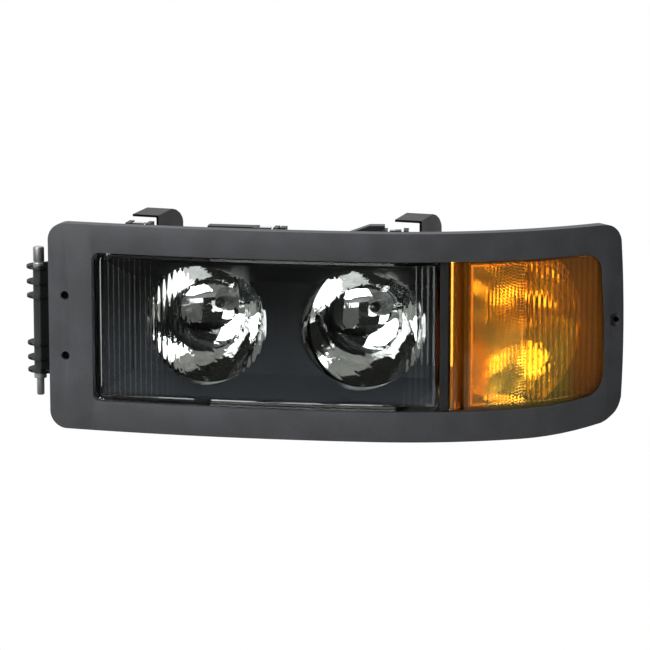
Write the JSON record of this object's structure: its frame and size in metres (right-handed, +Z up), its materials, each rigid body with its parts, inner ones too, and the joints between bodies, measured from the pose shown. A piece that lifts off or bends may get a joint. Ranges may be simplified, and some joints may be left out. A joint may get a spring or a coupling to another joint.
{
  "type": "vehicle headlight assembly",
  "caption": "Truck headlight that swings on a hinge pin: dark grey curved frame, fluted glass over tilting reflectors, and an amber indicator round the corner.",
  "frame": {"origin": "on the hinge axis, at the underside of the hinge pin's collar", "axes": "+Z up along the hinge axis, the lamp faces -Y, +X runs from the hinge towards the amber indicator"},
  "size_m": [0.5925, 0.2165, 0.2179],
  "materials": {
    "pin_steel": "brushed, knurled head",
    "zinc": "zinc plated",
    "spring_steel": "bright spring steel",
    "frame_grey": "fine grained dark grey moulding",
    "black_plastic": "black moulding",
    "bezel_black": "satin black moulding",
    "black_steel": "gloss black paint",
    "carrier_plastic": "dark grey moulding",
    "white_plastic": "natural acetal",
    "clear_glass": "clear fluted glass",
    "amber": "amber fluted lens",
    "mirror": "aluminised",
    "bulb_glass": "clear quartz glass",
    "bulb_metal": "pressed steel",
    "brass": "tinned brass",
    "rubber": "black rubber"
  },
  "bodies": {
    "hinge_post": {"hinge_pin": "pin_steel", "hinge_collar": "pin_steel", "hinge_washer": "zinc"},
    "lamp": {"bezel_frame": "frame_grey", "hinge_leaf": "black_plastic", "hinge_screws": "zinc", "hinge_nuts": "zinc", "lamp_housing": "black_plastic", "main_lens": "clear_glass", "lens_seal": "rubber", "inner_bezel": "bezel_black", "lens_clips": "spring_steel", "divider_strip": "black_plastic", "housing_screws": "zinc", "indicator_lens": "amber", "indicator_seal": "rubber", "indicator_housing": "black_plastic", "indicator_reflector": "mirror", "indicator_screws": "zinc", "bracket_inner": "black_steel", "bracket_outer": "black_steel", "bracket_screws": "zinc", "trunnion_bushes": "white_plastic", "level_motor": "black_plastic", "level_motor_screws": "zinc", "main_connector": "black_plastic", "connector_pins": "brass", "breather": "rubber"},
    "carrier": {"carrier_frame": "carrier_plastic", "carrier_trunnions": "zinc", "ball_socket": "white_plastic", "high_reflector": "mirror", "low_reflector": "mirror", "reflector_screws": "zinc", "high_bulb_glass": "bulb_glass", "high_bulb_base": "bulb_metal", "low_bulb_glass": "bulb_glass", "low_bulb_base": "bulb_metal"},
    "level_rod": {"level_rod": "white_plastic"},
    "high_bail": {"high_bail": "spring_steel"},
    "low_bail": {"low_bail": "spring_steel"},
    "high_cap": {"high_cap": "black_plastic", "high_cap_seal": "rubber"},
    "low_cap": {"low_cap": "black_plastic", "low_cap_seal": "rubber"},
    "indicator_holder": {"indicator_holder": "carrier_plastic", "holder_seal": "rubber", "indicator_bulb_base": "brass", "indicator_bulb_glass": "bulb_glass"}
  },
  "joints": [
    {"name": "lamp_swing", "type": "hinge", "parent": "hinge_post", "child": "lamp", "pos_m": [0, 0, 0], "axis": [0, 0, -1], "range_deg": [0, 100]},
    {"name": "aim_tilt", "type": "hinge", "parent": "lamp", "child": "carrier", "pos_m": [0.2516, 0.085, 0.0633], "axis": [1, 0, 0], "range_deg": [-2.5, 2.5]},
    {"name": "level_slide", "type": "slide", "parent": "lamp", "child": "level_rod", "axis": [0, 1, 0], "range_m": [-0.0028, 0.0028]},
    {"name": "high_bail_swing", "type": "hinge", "parent": "carrier", "child": "high_bail", "pos_m": [0.1724, 0.10123, 0.0963], "axis": [1, 0, 0], "range_deg": [0, 60]},
    {"name": "low_bail_swing", "type": "hinge", "parent": "carrier", "child": "low_bail", "pos_m": [0.3308, 0.12527, 0.0963], "axis": [1, 0, 0], "range_deg": [0, 60]},
    {"name": "high_cap_twist", "type": "hinge", "parent": "lamp", "child": "high_cap", "pos_m": [0.1724, 0.142, 0.0753], "axis": [0, 1, 0], "range_deg": [0, 30]},
    {"name": "low_cap_twist", "type": "hinge", "parent": "lamp", "child": "low_cap", "pos_m": [0.3308, 0.166, 0.0753], "axis": [0, 1, 0], "range_deg": [0, 30]},
    {"name": "indicator_holder_twist", "type": "hinge", "parent": "lamp", "child": "indicator_holder", "pos_m": [0.4733, 0.1745, 0.069], "axis": [0, -1, 0], "range_deg": [0, 40]}
  ],
  "couplings": [
    {"joint": "level_slide", "follows": "aim_tilt", "m_per_rad": 0.0613}
  ]
}
